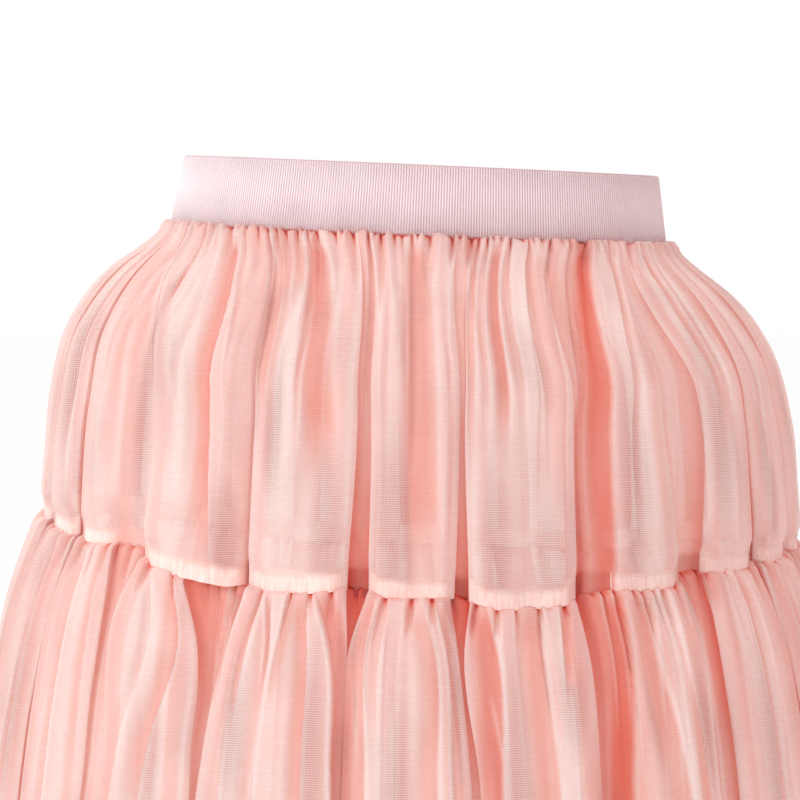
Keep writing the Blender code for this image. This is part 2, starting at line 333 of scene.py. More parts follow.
def crease_shape(offset, width, sharp):
    """How strong a crease is at an offset from its line: a soft trough, a flat one with two crisp
    sides, or one whose near side is the turned edge of the layer that lies over it."""
    if sharp == 0:
        return np.exp(-(1.45 * offset / width) ** 4)
    if sharp == 2:
        return np.clip((width / 2 - np.abs(offset)) / 0.2 + 0.5, 0, 1)
    over = offset * sharp
    return np.where(over < 0, eased(-1.0, -0.3, over / np.maximum(width, 1e-3)),
                    np.clip(1 - over / 0.16, 0, 1))


def flow(folds, low, high, place):
    """Where a thread that starts at a place on the top edge lies at every table level."""
    knots = [[low] * len(folds[0]["from"])]
    for fold in folds:
        knots += [list(fold["from"]), list(fold["to"])]
    knots = np.array(knots + [[high] * len(folds[0]["from"])])
    return np.array([np.interp(place, knots[:, 0], knots[:, k]) for k in range(knots.shape[1])])


def gathers(plan, chance):
    """The small pleats that the gathering thread draws up: uneven in width, depth and length."""
    found = []
    place = plan["low"] + plan["gather_pitch"] * 0.5
    while place < plan["high"] - 0.8:
        long = chance.random() < plan["long_share"]
        soft = 1 - 0.5 * math.sin(math.radians(place)) ** 4
        reach = plan["gather_length"] * (chance.uniform(1.6, 3.4) if long else chance.uniform(0.35, 1.1))
        at = flow(plan["folds"], plan["low"], plan["high"], place)
        # a gather's tone is painted shade in its trough, weaker towards the sides
        found.append({"at": at + np.array([0, 0.3, 1, 1]) * chance.uniform(-0.9, 0.9),
                      "width": plan["gather_width"] * chance.uniform(0.5, 1.3),
                      "depth": plan["gather_depth"] * chance.uniform(0.45, 1.0),
                      "begins": 0.0, "ends": reach,
                      "tone": soft * plan["gather_shade"] * chance.uniform(0.3, 1.0),
                      "open": not long, "sharp": int(chance.choice((-1, 1, 2))) if long else 0})
        place += plan["gather_pitch"] * chance.uniform(0.5, 1.6) * (
            1 + 0.7 * math.sin(math.radians(place)) ** 2)
    return found


def overlaps(plan, chance):
    """Places where the loose cloth lies double behind itself: hardly any depth, a little more colour."""
    found = []
    place = plan["low"] + 1.0
    while place < plan["high"] - 1.0:
        at = flow(plan["folds"], plan["low"], plan["high"], place)
        found.append({"at": at + np.array([0, 0.4, 1.2, 1.6]) * chance.uniform(-1, 1),
                      "width": chance.uniform(0.8, 3.2), "depth": 0.0004,
                      "begins": chance.uniform(0, 0.25), "ends": chance.uniform(0.4, 1.25),
                      "tone": chance.uniform(-0.20, 0.28), "sharp": int(chance.choice((-1, 1, 2)))})
        place += chance.uniform(2.5, 6.0)
    return found


# ---------------------------------------------------------------- a tier
COLUMN_STEP = 0.0008         # metres of cloth between two columns of the mesh
LEAST_STEP = 0.002           # between two stations, so that none fall on the same place
SIDE_CALM = 0.45             # how much weaker small creases are at the sides
GROOVE_WIDTH = 0.55          # degrees, of a stitch's groove
LEAST_WIDTH = 0.25           # degrees, of a gather where it runs out
RIM_AT, RIM_WIDTH = 0.45, 0.26           # of the painted highlight along the edge that a turned layer shows, in degrees
PUFF_ENDS = 0.075
SLACK = 0.0009               # how far the hanging cloth wavers in and out
# painted shade deepening the colour in the nips at the top of each tier
NIP_SHADE = 1.8
STITCH_MARK_AT, STITCH_MARK_LENGTH = 0.004, 0.006
FRILL_AT, FRILL_LENGTH = 0.012, 0.010
TONE_LOW, TONE_HIGH = -0.5, 2.0          # tones that the cloth's colour ramp covers


def mesh_columns(plan, found):
    """Where the columns of the mesh and the stations lie, in metres along the lower edge."""
    lowest = found[:, -1, :]
    radius = plan["rings"][-1][1]
    steps = np.hypot(np.diff(lowest[:, 0]) * math.radians(1) * radius, np.diff(lowest[:, 1]))
    counts = np.maximum(3, np.ceil(steps / COLUMN_STEP)).astype(int)
    knots = np.concatenate([[0], np.cumsum(np.maximum(steps, LEAST_STEP))])
    columns = [np.linspace(knots[i], knots[i + 1], n, endpoint=False) for i, n in enumerate(counts)]
    return np.concatenate(columns + [[knots[-1]]]), knots


def crease_width(crease, down, gathered):
    """Width of a crease at each row: an open gather is widest at the thread and runs out below, and
    a long one is drawn to nothing at both ends."""
    if not gathered:
        return np.full_like(down, crease["width"])
    share = np.clip(down / crease["ends"], 0, 1)
    if crease["open"]:
        return LEAST_WIDTH + crease["width"] * (1 - share) ** 0.8
    return LEAST_WIDTH + crease["width"] * np.sin(math.pi * share ** 0.55) ** 0.8


def crease_cloth(plan, at, out, tone):
    """Press the pleats, overlaps and gathers into the broad folds. Gives the new out and tone, with
    painted shade in the creases and painted highlights along turned rims, and how far each point lies
    in a groove of the gathering."""
    chance = np.random.default_rng(plan["seed"])
    down = plan["down"]
    outer = eased(0.50, 0.75, out / np.maximum(out.max(axis=1, keepdims=True), 1e-6))
    calm = 1 - SIDE_CALM * np.sin(np.radians(at)) ** 4
    kinds = ((plan["pleats"], outer, 1.0, plan["strong"], False),
             (overlaps(plan, chance), 1.0, calm, 1.0, False),
             (gathers(plan, chance), 1.0, calm, 1.0, True))
    grooves, deeper, paler = np.zeros_like(out), np.zeros_like(out), np.zeros_like(out)
    for creases, where, weaker, strong, gathered in kinds:
        for crease in creases:
            centre = through(plan["marks"], crease["at"], down)[:, None]
            width = crease_width(crease, down, gathered)[:, None]
            shape = crease_shape(at - centre, width, crease["sharp"])
            fade = 1 - eased(crease["ends"] * (0.45 if gathered else 0.6), crease["ends"], down)
            begin = 1 if gathered else eased(crease["begins"] - 0.02, crease["begins"] + 0.05, down)
            life = (fade * begin)[:, None] * weaker
            strength = shape * life * where
            out = out - crease["depth"] * strength * eased(0, 0.02, down)[:, None]
            # A crease's tone is painted shade in its trough, partly the cloth lying double there
            deeper = np.maximum(deeper, strong * crease["tone"] * strength)
            paler = np.maximum(paler, -crease["tone"] * strength)
            # Beside a turned edge the cloth gets a pale rim: a painted highlight, partly the doubled
            # cloth at the turn
            if abs(crease["sharp"]) == 1:
                rim = np.exp(-(((at - centre) * crease["sharp"] - RIM_AT) / RIM_WIDTH) ** 2)
                paler = np.maximum(paler, plan["rim"] * rim * life)
            if gathered:
                grooves = np.maximum(grooves, strength * crease_shape(at - centre, GROOVE_WIDTH, 0))
    return out, np.maximum(tone, tone * 0.6 + deeper) - paler + plan["base"], grooves


def tier_places(plan, at, out, rises):
    """The points of half a tier from how far round, how far out and how much higher each lies."""
    down = plan["down"]
    angle = np.radians(at)
    ovals = through([r[0] for r in plan["rings"]], [r[1:] for r in plan["rings"]], down)
    half_width, half_depth = ovals[:, 0:1], ovals[:, 1:2]
    normal = np.stack([np.sin(angle) / half_width, -np.cos(angle) / half_depth], axis=-1)
    normal /= np.linalg.norm(normal, axis=-1, keepdims=True)
    x = half_width * np.sin(angle) + normal[..., 0] * out
    y = -half_depth * np.cos(angle) + normal[..., 1] * out
    high_edge, low_edge = plan["edges"](at)
    z = high_edge + (low_edge - high_edge) * down[:, None] - WORN_TILT * x + rises
    y[:, 0] = y[:, -1] = plan["side"] * SEAM_GAP / 2
    return np.stack([x, y, z], axis=-1)


def bare_cloth(plan, at, tone):
    """Where the single cloth just above the seam is so sheer that the raw edges show through."""
    down = plan["down"][:, None]
    inside = np.zeros_like(at)
    for fold in plan["folds"]:
        nearest = np.minimum(at - fold["from"][-1], fold["to"][-1] - at)
        inside = np.maximum(inside, eased(0.1, 1.7, nearest))
    bare = plan["bare"] * eased(plan["bare_from"], plan["bare_from"] + 0.008, down)
    return bare * (1 - 0.75 * eased(0.3, 1.0, tone)) * inside


def clear_cloth(plan, at, tone):
    """Where one layer hangs clear of the rest and its mesh shows, greyed as painted shade of the hollow
    behind.
    """
    down = plan["down"][:, None]
    clear = np.zeros_like(tone)
    for place, half, middle, reach in plan["clear"]:
        spot = ((at - place) / half) ** 2 + ((down - middle) / reach) ** 2
        clear = np.maximum(clear, np.exp(-spot ** 1.5) * (1 - eased(0.35, 0.8, tone)))
    return clear


def tier_grid(plan):
    """Points (rows x columns x 3), painted attributes and cloth coordinates of half a tier."""
    found = stations(plan["folds"], plan["low"], plan["high"], plan["stands"], plan["recess"])
    columns, knots = mesh_columns(plan, found)
    down = plan["down"]
    by_level = through(plan["marks"], found.transpose(1, 0, 2), down)               # rows x stations
    ring = through(knots, by_level.transpose(1, 0, 2), columns).transpose(1, 0, 2)  # rows x columns
    at = ring[..., 0]
    out, tone, grooves = crease_cloth(plan, at, ring[..., 1], ring[..., 2])

    # Between the stitches the gathers puff out at once; in the nips between them the colour is deepened
    # as painted shade, with red marks of painted shade along the stitching where the cloth is pinched
    down = down[:, None]
    ripple = 0.5 + 0.5 * np.sin(1.9 * at + 2.2 * np.sin(0.73 * at))
    puff = plan["puff"] * eased(0, 0.018, down) * np.exp(-(down / PUFF_ENDS) ** 2)
    wave = (np.sin(at * 0.31 + 7 * down + plan["seed"])
            * np.sin(at * 0.13 - 5 * down) * eased(0.1, 0.5, down))
    out = out + puff * (1 - 0.9 * grooves) + SLACK * wave - plan["pinch"] * eased(0.90, 0.955, down)
    marks = np.exp(-((down - STITCH_MARK_AT) / STITCH_MARK_LENGTH) ** 2)
    tone = tone + NIP_SHADE * np.exp(-(down / plan["nip"]) ** 2) * grooves ** 2
    tone = tone + plan["red_nip_shade"] * (1 - ripple) ** 2 * marks
    frill = plan["frill"] * (1 - grooves) * (0.25 + 0.75 * ripple)
    points = tier_places(plan, at, out, frill * np.exp(-((down - FRILL_AT) / FRILL_LENGTH) ** 2))

    bare = bare_cloth(plan, at, tone)
    clear = clear_cloth(plan, at, tone) * (1 - eased(0, 0.4, bare))
    shown = (np.clip(tone, TONE_LOW, TONE_HIGH) - TONE_LOW) / (TONE_HIGH - TONE_LOW)
    cloth = np.stack(np.broadcast_arrays(columns[None, :], 1 - down), axis=-1)
    return points, {"tone": shown, "bare": bare, "clear": clear}, cloth


SEAM_CURL = 0.0030
SEAM_RIPPLES = ((0.9, 0.0003, 0), (1.6, 0.0002, 1))     # radians to a degree, height, start


def lobe_curl():
    """The seam hangs lowest at the middle of each fold and curls up towards its sides."""
    lobes = [(f["low_from"], f["low_to"]) for f in rows(UPPER_FRONT_FOLDS, FOLD_COLUMNS)]
    lobes += [(f[0], f[1]) for f in BACK_FOLDS]
    places, rises = [-90.0], [SEAM_CURL]
    for start, end in lobes:
        width = end - start
        for share in np.linspace(0, 1, 11):
            places.append(start + share * width)
            rises.append(SEAM_CURL * abs(2 * share - 1) ** 3)
    return places + [270.0], rises + [SEAM_CURL]


def seam_height(at):
    """Height of the tier seam, before the whole skirt's tilt."""
    ride = np.interp(at, [place for place, _ in SEAM_LINE], [lift for _, lift in SEAM_LINE])
    curl = np.interp(at, *lobe_curl())
    for pace, rise, start in SEAM_RIPPLES:
        curl = curl + rise * np.sin(pace * at + start)
    return -BAND_EDGE_Z - UPPER_DROP + SEAM_SIDE_LIFT * np.sin(np.radians(at)) ** 2 + ride + curl


def upper_edges(at):
    """Heights of the upper tier's upper and lower edge."""
    return -BAND_EDGE_Z - SEAM_GAP, seam_height(at)


def lower_edges(at):
    """Heights of the lower tier's upper and lower edge."""
    hem = -BAND_EDGE_Z - UPPER_DROP - LOWER_DROP + HEM_SIDE_LIFT * np.sin(np.radians(at)) ** 2
    return seam_height(at) + TUCK, hem


def spread_rows(count, crowding):
    """Shares of the way down a tier, closer together near its gathered top."""
    return np.linspace(0, 1, count) ** crowding


def tier_plans():
    """What each half of each tier is made from. Every seed is fixed, so each run gives the same
    folds."""
    upper = {"rings": UPPER_RINGS, "marks": UPPER_MARKS, "stands": UPPER_STANDS,
             # the recess tone is painted shade in the gaps between the broad folds
             "recess": {"out": np.array([0.6, 0.6, 0.42, 0.24]),
                        "tone": np.array([0.35, 0.6, 0.9, 1.45])},
             "down": spread_rows(70, 1.4), "gather_pitch": 3.4, "gather_depth": 0.0034,
             "gather_width": 2.3, "gather_length": 0.24, "gather_shade": 0.75, "long_share": 0.30,
             "nip": 0.022, "puff": 0.0038, "pinch": 0.0022, "frill": 0.0046, "red_nip_shade": 1.8,
             "rim": 0.16, "base": -0.04, "strong": 1.25, "edges": upper_edges,
             "bare": 0.62, "bare_from": 0.943}
    lower = {"rings": LOWER_RINGS, "marks": LOWER_MARKS, "stands": LOWER_STANDS,
             # the recess tone is painted shade in the gaps between the broad folds
             "recess": {"out": np.array([0.15, 0.3, 0.5, 0.55]),
                        "tone": np.array([1.45, 1.35, 0.95, 0.75])},
             "down": spread_rows(70, 1.4), "gather_pitch": 2.3, "gather_depth": 0.0018,
             "gather_width": 1.4, "gather_length": 0.12, "gather_shade": 0.60, "long_share": 0.40,
             "nip": 0.016, "puff": 0.0040, "pinch": 0.0, "frill": 0.0018, "red_nip_shade": 0.6,
             "rim": 0.45, "base": 0.12, "strong": 1.1, "edges": lower_edges,
             "bare": 0.0, "bare_from": 0.9}
    names = ("band", "band", "middle", "low")
    upper_front = [spread(fold_edges(r, names)) for r in rows(UPPER_FRONT_FOLDS, FOLD_COLUMNS)]
    upper_pleats = [spread(dict(r, at=[r[n + "_at"] for n in names]))
                    for r in rows(UPPER_FRONT_PLEATS, PLEAT_COLUMNS)]
    names = ("seam", "puff", "middle", "hem")
    lower_front = [fold_edges(r, names) for r in rows(LOWER_FRONT_FOLDS, LOWER_FOLD_COLUMNS)]
    lower_pleats = [dict(r, at=[r[n + "_at"] for n in names])
                    for r in rows(LOWER_FRONT_PLEATS, LOWER_PLEAT_COLUMNS)]
    upper_back, lower_back = [spread(fold) for fold in back_folds(5)], back_folds(8)
    front = {"low": -90.0, "high": 90.0, "side": -1}
    back = {"low": 90.0, "high": 270.0, "side": 1}
    back_clear = [(fold["at"][-2], 2.2, 0.7, 0.25) for fold in back_pleats(upper_back, 23)]
    return {
        "upper_tier_front": dict(upper, **front, folds=upper_front, pleats=upper_pleats, seed=3,
                                 clear=UPPER_CLEAR),
        "upper_tier_back": dict(upper, **back, folds=upper_back, seed=4,
                                pleats=back_pleats(upper_back, 21), clear=back_clear),
        "lower_tier_front": dict(lower, **front, folds=lower_front, pleats=lower_pleats, seed=6,
                                 clear=LOWER_CLEAR),
        "lower_tier_back": dict(lower, **back, folds=lower_back, seed=7,
                                pleats=back_pleats(lower_back, 22), clear=back_clear),
    }


# ---------------------------------------------------------------- meshes
def grid_mesh(name, points, material, cloth=None, painted=(), closed=False):
    """A mesh over a grid of points whose rows run down and whose columns run round."""
    count, width = points.shape[:2]
    mesh = bpy.data.meshes.new(name)
    index = np.arange(count * width).reshape(count, width)
    right = np.roll(index, -1, axis=1) if closed else index[:, 1:]
    left = index if closed else index[:, :-1]
    quads = np.stack([left[:-1], left[1:], right[1:], right[:-1]], axis=-1).reshape(-1, 4)
    mesh.from_pydata(points.reshape(-1, 3).tolist(), [], quads.tolist())
    if cloth is not None:
        layer = mesh.uv_layers.new(name="cloth")
        layer.data.foreach_set("uv", cloth.reshape(-1, 2)[quads.reshape(-1)].astype(np.float32).ravel())
    for key, values in dict(painted).items():
        store = mesh.attributes.new(key, "FLOAT", "POINT")
        store.data.foreach_set("value", values.astype(np.float32).ravel())
    mesh.shade_smooth()
    mesh.materials.append(material)
    thing = bpy.data.objects.new(name, mesh)
    bpy.context.scene.collection.objects.link(thing)
    return thing


def attach(piece, node):
    """A piece rides on the skirt's one body and stands for a solid, which is hidden."""
    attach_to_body(piece, "root")
    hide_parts(node)


# ---------------------------------------------------------------- materials
def linear(code):
    """An sRGB hex colour as linear RGBA."""
    parts = [int(code[i:i + 2], 16) / 255 for i in (1, 3, 5)]
    return [p / 12.92 if p <= 0.04045 else ((p + 0.055) / 1.055) ** 2.4 for p in parts] + [1.0]


def add_node(tree, kind, settings=(), values=(), links=()):
    """Add a node, set its properties and sockets, and link its inputs."""
    node = tree.nodes.new(kind)
    for key, value in dict(settings).items():
        setattr(node, key, value)
    for key, value in dict(values).items():
        node.inputs[key].default_value = value
    for key, source in dict(links).items():
        tree.links.new(source, node.inputs[key])
    return node


def set_stops(node, stops):
    """Give a colour ramp its (place, hex colour) stops."""
    ramp = node.color_ramp
    while len(ramp.elements) > 1:
        ramp.elements.remove(ramp.elements[-1])
    for i, (place, code) in enumerate(stops):
        element = ramp.elements[0] if i == 0 else ramp.elements.new(place)
        element.position = place
        element.color = linear(code)


def socket(tree, name, kind, default=None):
    """Add a named input to a node tree and return its identifier."""
    item = tree.interface.new_socket(name, in_out="INPUT", socket_type=kind)
    if default is not None:
        item.default_value = default
    return item.identifier


def run_nodes(thing, tree, values):
    """Run a node tree on an object and keep the result as its plain mesh."""
    modifier = thing.modifiers.new(tree.name, "NODES")
    modifier.node_group = tree
    for identifier, value in values.items():
        modifier[identifier] = value
    bpy.context.view_layer.update()
    evaluated = thing.evaluated_get(bpy.context.evaluated_depsgraph_get())
    mesh = bpy.data.meshes.new_from_object(evaluated)
    thing.modifiers.clear()
    thing.data = mesh
    return thing


def new_material(name):
    """A material, its node tree and its shader."""
    material = bpy.data.materials.new(name)
    material.use_nodes = True
    tree = material.node_tree
    return material, tree, tree.nodes["Principled BSDF"]


WEFT_PITCH, WARP_PITCH = 0.0012, 0.0008    # of the mesh, drawn about twice as coarse as the real one
PICK_PITCH = 0.0009                        # of the elastic's covering threads, drawn coarser as well
# Scales of the uneven patterns, to a metre
DYE_CLOUDS = 26.0                          # about 4 cm
WEFT_WOBBLES = 90.0                        # about 1 cm, each bending a thread by up to WEFT_PITCH
SLUBS = (160, 160, 1300)                   # thick places in a thread, 6 mm long and 0.8 mm high
CLEAR_PATCHES = (38, 38, 13)               # 26 mm wide and 77 mm high
PRESSED_PLEATS = 620.0                     # 1.6 mm apart, and eight times as long
ELASTIC_CLOUDS = 60.0                      # 17 mm


def tulle_weave(tree, place):
    """The lie of the tulle's threads, and how much the holes between them show, which the material
    greys as painted shade of the hollow seen through them. The crosswise threads follow the height and
    the lengthwise ones the cloth's own width."""
    level = add_node(tree, "ShaderNodeSeparateXYZ", links={"Vector": place}).outputs["Z"]
    wobble = add_node(tree, "ShaderNodeTexNoise", values={"Scale": WEFT_WOBBLES, "Detail": 2.0},
                      links={"Vector": place}).outputs["Fac"]
    height = add_node(tree, "ShaderNodeMath", {"operation": "MULTIPLY_ADD"},
                      values={1: WEFT_PITCH}, links={0: wobble, 2: level}).outputs[0]
    turns = add_node(tree, "ShaderNodeMath", {"operation": "MULTIPLY"},
                     values={1: 2 * math.pi / WEFT_PITCH}, links={0: height}).outputs[0]
    weft = add_node(tree, "ShaderNodeMath", {"operation": "SINE"}, links={0: turns}).outputs[0]
    cloth = add_node(tree, "ShaderNodeUVMap", {"uv_map": "cloth"}).outputs["UV"]
    along = add_node(tree, "ShaderNodeSeparateXYZ", links={"Vector": cloth}).outputs["X"]
    columns = add_node(tree, "ShaderNodeMath", {"operation": "MULTIPLY"},
                       values={1: 2 * math.pi / WARP_PITCH}, links={0: along}).outputs[0]
    warp = add_node(tree, "ShaderNodeMath", {"operation": "SINE"}, links={0: columns}).outputs[0]
    stretched = add_node(tree, "ShaderNodeMapping", values={"Scale": SLUBS},
                         links={"Vector": place}).outputs[0]
    slubs = add_node(tree, "ShaderNodeTexNoise", values={"Scale": 1.0, "Detail": 3.0},
                     links={"Vector": stretched}).outputs["Fac"]
    uneven = add_node(tree, "ShaderNodeMapRange",
                      values={"From Min": 0.3, "From Max": 0.7, "To Min": -0.8, "To Max": 0.8},
                      links={"Value": slubs}).outputs["Result"]
    threads = add_node(tree, "ShaderNodeMath", {"operation": "MULTIPLY_ADD"},
                       values={1: 0.4}, links={0: weft, 2: uneven}).outputs[0]

    # One layer hangs clear where the piece says so, and a little in stray patches elsewhere
    patch_place = add_node(tree, "ShaderNodeMapping", values={"Scale": CLEAR_PATCHES},
                           links={"Vector": place}).outputs[0]
    patches = add_node(tree, "ShaderNodeTexNoise", values={"Scale": 1.0, "Detail": 1.0},
                       links={"Vector": patch_place}).outputs["Fac"]
    stray = add_node(tree, "ShaderNodeMapRange",
                     values={"From Min": 0.5, "From Max": 0.72, "To Min": 0.08, "To Max": 0.5},
                     links={"Value": patches}).outputs["Result"]
    hung_clear = add_node(tree, "ShaderNodeAttribute", {"attribute_name": "clear"}).outputs["Fac"]
    clear = add_node(tree, "ShaderNodeMath", {"operation": "MAXIMUM"},
                     links={0: hung_clear, 1: stray}).outputs[0]
    both = add_node(tree, "ShaderNodeMath", {"operation": "ADD"}, links={0: weft, 1: warp}).outputs[0]
    gaps = add_node(tree, "ShaderNodeMapRange",
                    values={"From Min": 1.6, "From Max": -1.6, "To Min": 0.08, "To Max": 0.9},
                    links={"Value": both}).outputs["Result"]
    hole_shade = add_node(tree, "ShaderNodeMath", {"operation": "MULTIPLY"},
                          links={0: gaps, 1: clear}).outputs[0]
    return threads, hole_shade


def tulle_material():
    """Sheer polyester tulle, piece-dyed pink and heat-set soft. One layer is pale and lets light
    through; where folds lie double the colour deepens to coral, partly the doubled cloth and partly
    painted shade in the recesses, and to red as painted shade in a closed slit."""
    material, tree, _ = new_material("pink_tulle")
    tree.nodes.clear()
    place = add_node(tree, "ShaderNodeTexCoord").outputs["Object"]
    tone = add_node(tree, "ShaderNodeAttribute", {"attribute_name": "tone"}).outputs["Fac"]
    cloud = add_node(tree, "ShaderNodeTexNoise", values={"Scale": DYE_CLOUDS, "Detail": 3.0},
                     links={"Vector": place}).outputs["Fac"]
    shift = add_node(tree, "ShaderNodeMapRange",
                     values={"From Min": 0.3, "From Max": 0.7, "To Min": -0.03, "To Max": 0.03},
                     links={"Value": cloud}).outputs["Result"]
    depth = add_node(tree, "ShaderNodeMath", {"operation": "ADD", "use_clamp": True},
                     links={0: tone, 1: shift}).outputs[0]
    # The tone attribute runs from pale single cloth to coral and red: partly the doubled cloth, and
    # painted shade in recesses, creases, nips and slits, with painted highlights along turned edges
    colour_ramp = add_node(tree, "ShaderNodeValToRGB", links={"Fac": depth})
    set_stops(colour_ramp, ((0.0, "#fdf8f6"), (0.2, "#f9eeea"), (0.4, "#f4cfc7"), (0.6, "#eeaa9e"),
                    (0.8, "#e87c6a"), (0.92, "#dc5442"), (1.0, "#b43a3a")))

    threads, hole_shade = tulle_weave(tree, place)
    shaded = add_node(tree, "ShaderNodeValToRGB", links={"Fac": threads})
    set_stops(shaded, ((0.0, "#fdf5f3"), (0.7, "#ffffff")))
    # Where the mesh shows, the holes between the threads are painted grey-mauve: painted shade of the
    # hollow seen through them
    shade = add_node(tree, "ShaderNodeMix", {"data_type": "RGBA"},
                     values={"B": linear("#ba9c9a")},
                     links={"Factor": hole_shade, "A": shaded.outputs["Color"]}).outputs["Result"]
    colour = add_node(tree, "ShaderNodeMix", {"data_type": "RGBA", "blend_type": "MULTIPLY"},
                      values={"Factor": 1.0},
                      links={"A": colour_ramp.outputs["Color"], "B": shade}).outputs["Result"]
    glow = add_node(tree, "ShaderNodeMix", {"data_type": "RGBA", "blend_type": "MULTIPLY"},
                    values={"Factor": 1.0, "B": linear("#fff0ec")}, links={"A": colour}).outputs["Result"]
    bump = add_node(tree, "ShaderNodeBump", values={"Strength": 0.14, "Distance": 0.0002},
                    links={"Height": threads}).outputs["Normal"]
    front = add_node(tree, "ShaderNodeBsdfPrincipled",
                     values={"Roughness": 0.62, "Sheen Weight": 0.25, "Sheen Roughness": 0.35,
                             "Specular IOR Level": 0.25},
                     links={"Base Color": colour, "Normal": bump}).outputs[0]
    through_light = add_node(tree, "ShaderNodeBsdfTranslucent",
                             links={"Color": glow, "Normal": bump}).outputs[0]
    threads_lit = add_node(tree, "ShaderNodeMixShader", values={0: 0.38},
                           links={1: front, 2: through_light}).outputs[0]

    # A single layer covers three quarters of what is behind it and a double one nearly all, and it
    # is barest just above the seam, where the raw edges show through
    closed = add_node(tree, "ShaderNodeMapRange",
                      values={"From Min": 0.2, "From Max": 0.6, "To Min": 0.76, "To Max": 0.93},
                      links={"Value": depth}).outputs["Result"]
    bare = add_node(tree, "ShaderNodeAttribute", {"attribute_name": "bare"}).outputs["Fac"]
    cover = add_node(tree, "ShaderNodeMath", {"operation": "SUBTRACT", "use_clamp": True},
                     links={0: closed, 1: bare}).outputs[0]
    holes = add_node(tree, "ShaderNodeBsdfTransparent").outputs[0]
    sheer = add_node(tree, "ShaderNodeMixShader", links={0: cover, 1: holes, 2: threads_lit}).outputs[0]
    add_node(tree, "ShaderNodeOutputMaterial", links={"Surface": sheer})
    return material


def allowance_material():
    """The raw gathered edges of the seam, pressed flat: many layers of the same tulle, so pale and
    nearly closed, with the threads fraying out along the top."""
    material, tree, shader = new_material("pressed_seam_allowance")
    place = add_node(tree, "ShaderNodeTexCoord").outputs["Object"]
    upright = add_node(tree, "ShaderNodeMapping", values={"Scale": (1, 1, 0.12)},
                       links={"Vector": place}).outputs[0]
    creases = add_node(tree, "ShaderNodeTexNoise", values={"Scale": PRESSED_PLEATS, "Detail": 2.0},
                       links={"Vector": upright}).outputs["Fac"]
    colour_ramp = add_node(tree, "ShaderNodeValToRGB", links={"Fac": creases})
    set_stops(colour_ramp, ((0.25, "#eec8be"), (0.5, "#f6dad2"), (0.8, "#fbe9e3")))
    tree.links.new(colour_ramp.outputs["Color"], shader.inputs["Base Color"])
    bump = add_node(tree, "ShaderNodeBump", values={"Strength": 0.3, "Distance": 0.0003},
                    links={"Height": creases})
    tree.links.new(bump.outputs["Normal"], shader.inputs["Normal"])
    shader.inputs["Roughness"].default_value = 0.8
    return material


def elastic_material(name, darker, lighter):
    """Ribbed polyester elastic, woven soft: matt warp ribs with fine covering threads across them,
    a paler and cooler pink than the tulle. The ground between the ribs is painted deeper in colour,
    as the shade that falls between them."""
    material, tree, shader = new_material(name)
    place = add_node(tree, "ShaderNodeTexCoord").outputs["Object"]
    height = add_node(tree, "ShaderNodeSeparateXYZ", links={"Vector": place}).outputs["Z"]
    turns = add_node(tree, "ShaderNodeMath", {"operation": "MULTIPLY"},
                     values={1: 2 * math.pi / PICK_PITCH}, links={0: height}).outputs[0]
    picks = add_node(tree, "ShaderNodeMath", {"operation": "SINE"}, links={0: turns}).outputs[0]
    cloud = add_node(tree, "ShaderNodeTexNoise", values={"Scale": ELASTIC_CLOUDS, "Detail": 4.0},
                     links={"Vector": place}).outputs["Fac"]
    colour_ramp = add_node(tree, "ShaderNodeValToRGB", links={"Fac": cloud})
    set_stops(colour_ramp, ((0.3, darker), (0.7, lighter)))
    tree.links.new(colour_ramp.outputs["Color"], shader.inputs["Base Color"])
    bump = add_node(tree, "ShaderNodeBump", values={"Strength": 0.3, "Distance": 0.0001},
                    links={"Height": picks})
    tree.links.new(bump.outputs["Normal"], shader.inputs["Normal"])
    shader.inputs["Roughness"].default_value = 0.7
    shader.inputs["Sheen Weight"].default_value = 0.2
    return material


def studio_material(name, code, roughness):
    """Painted studio sweep: plain and matt."""
    material, _, shader = new_material(name)
    shader.inputs["Base Color"].default_value = linear(code)
    shader.inputs["Roughness"].default_value = roughness
    return material


# ---------------------------------------------------------------- pieces
def make_tiers(material):
    """The four half tiers, and the grids they were made from."""
    made, grids = {}, {}
    for name, plan in tier_plans().items():
        points, painted, cloth = tier_grid(plan)
        grids[name] = points
        made[name] = grid_mesh(name + "_cloth", points, material, cloth, painted)
        attach(made[name], name)
    return made, grids


ALLOWANCE_ROWS = 6
ALLOWANCE_BEHIND = (0.0002, 0.0009)      # how far behind the cloth it lies: in a pocket, on the outside
CUT_SLOW, CUT_FINE = 0.0005, 0.0004      # how unevenly its edge was cut
CUT_STEP = 6                             # columns between the turns of the slow unevenness
FRAY_LENGTH, FRAY_RADIUS = 0.0024, 0.00022
FRAY_LEAN = 0.6                          # radians, the most that a thread end leans
SMOOTHING = (1 / 16, 4 / 16, 6 / 16, 4 / 16, 1 / 16)


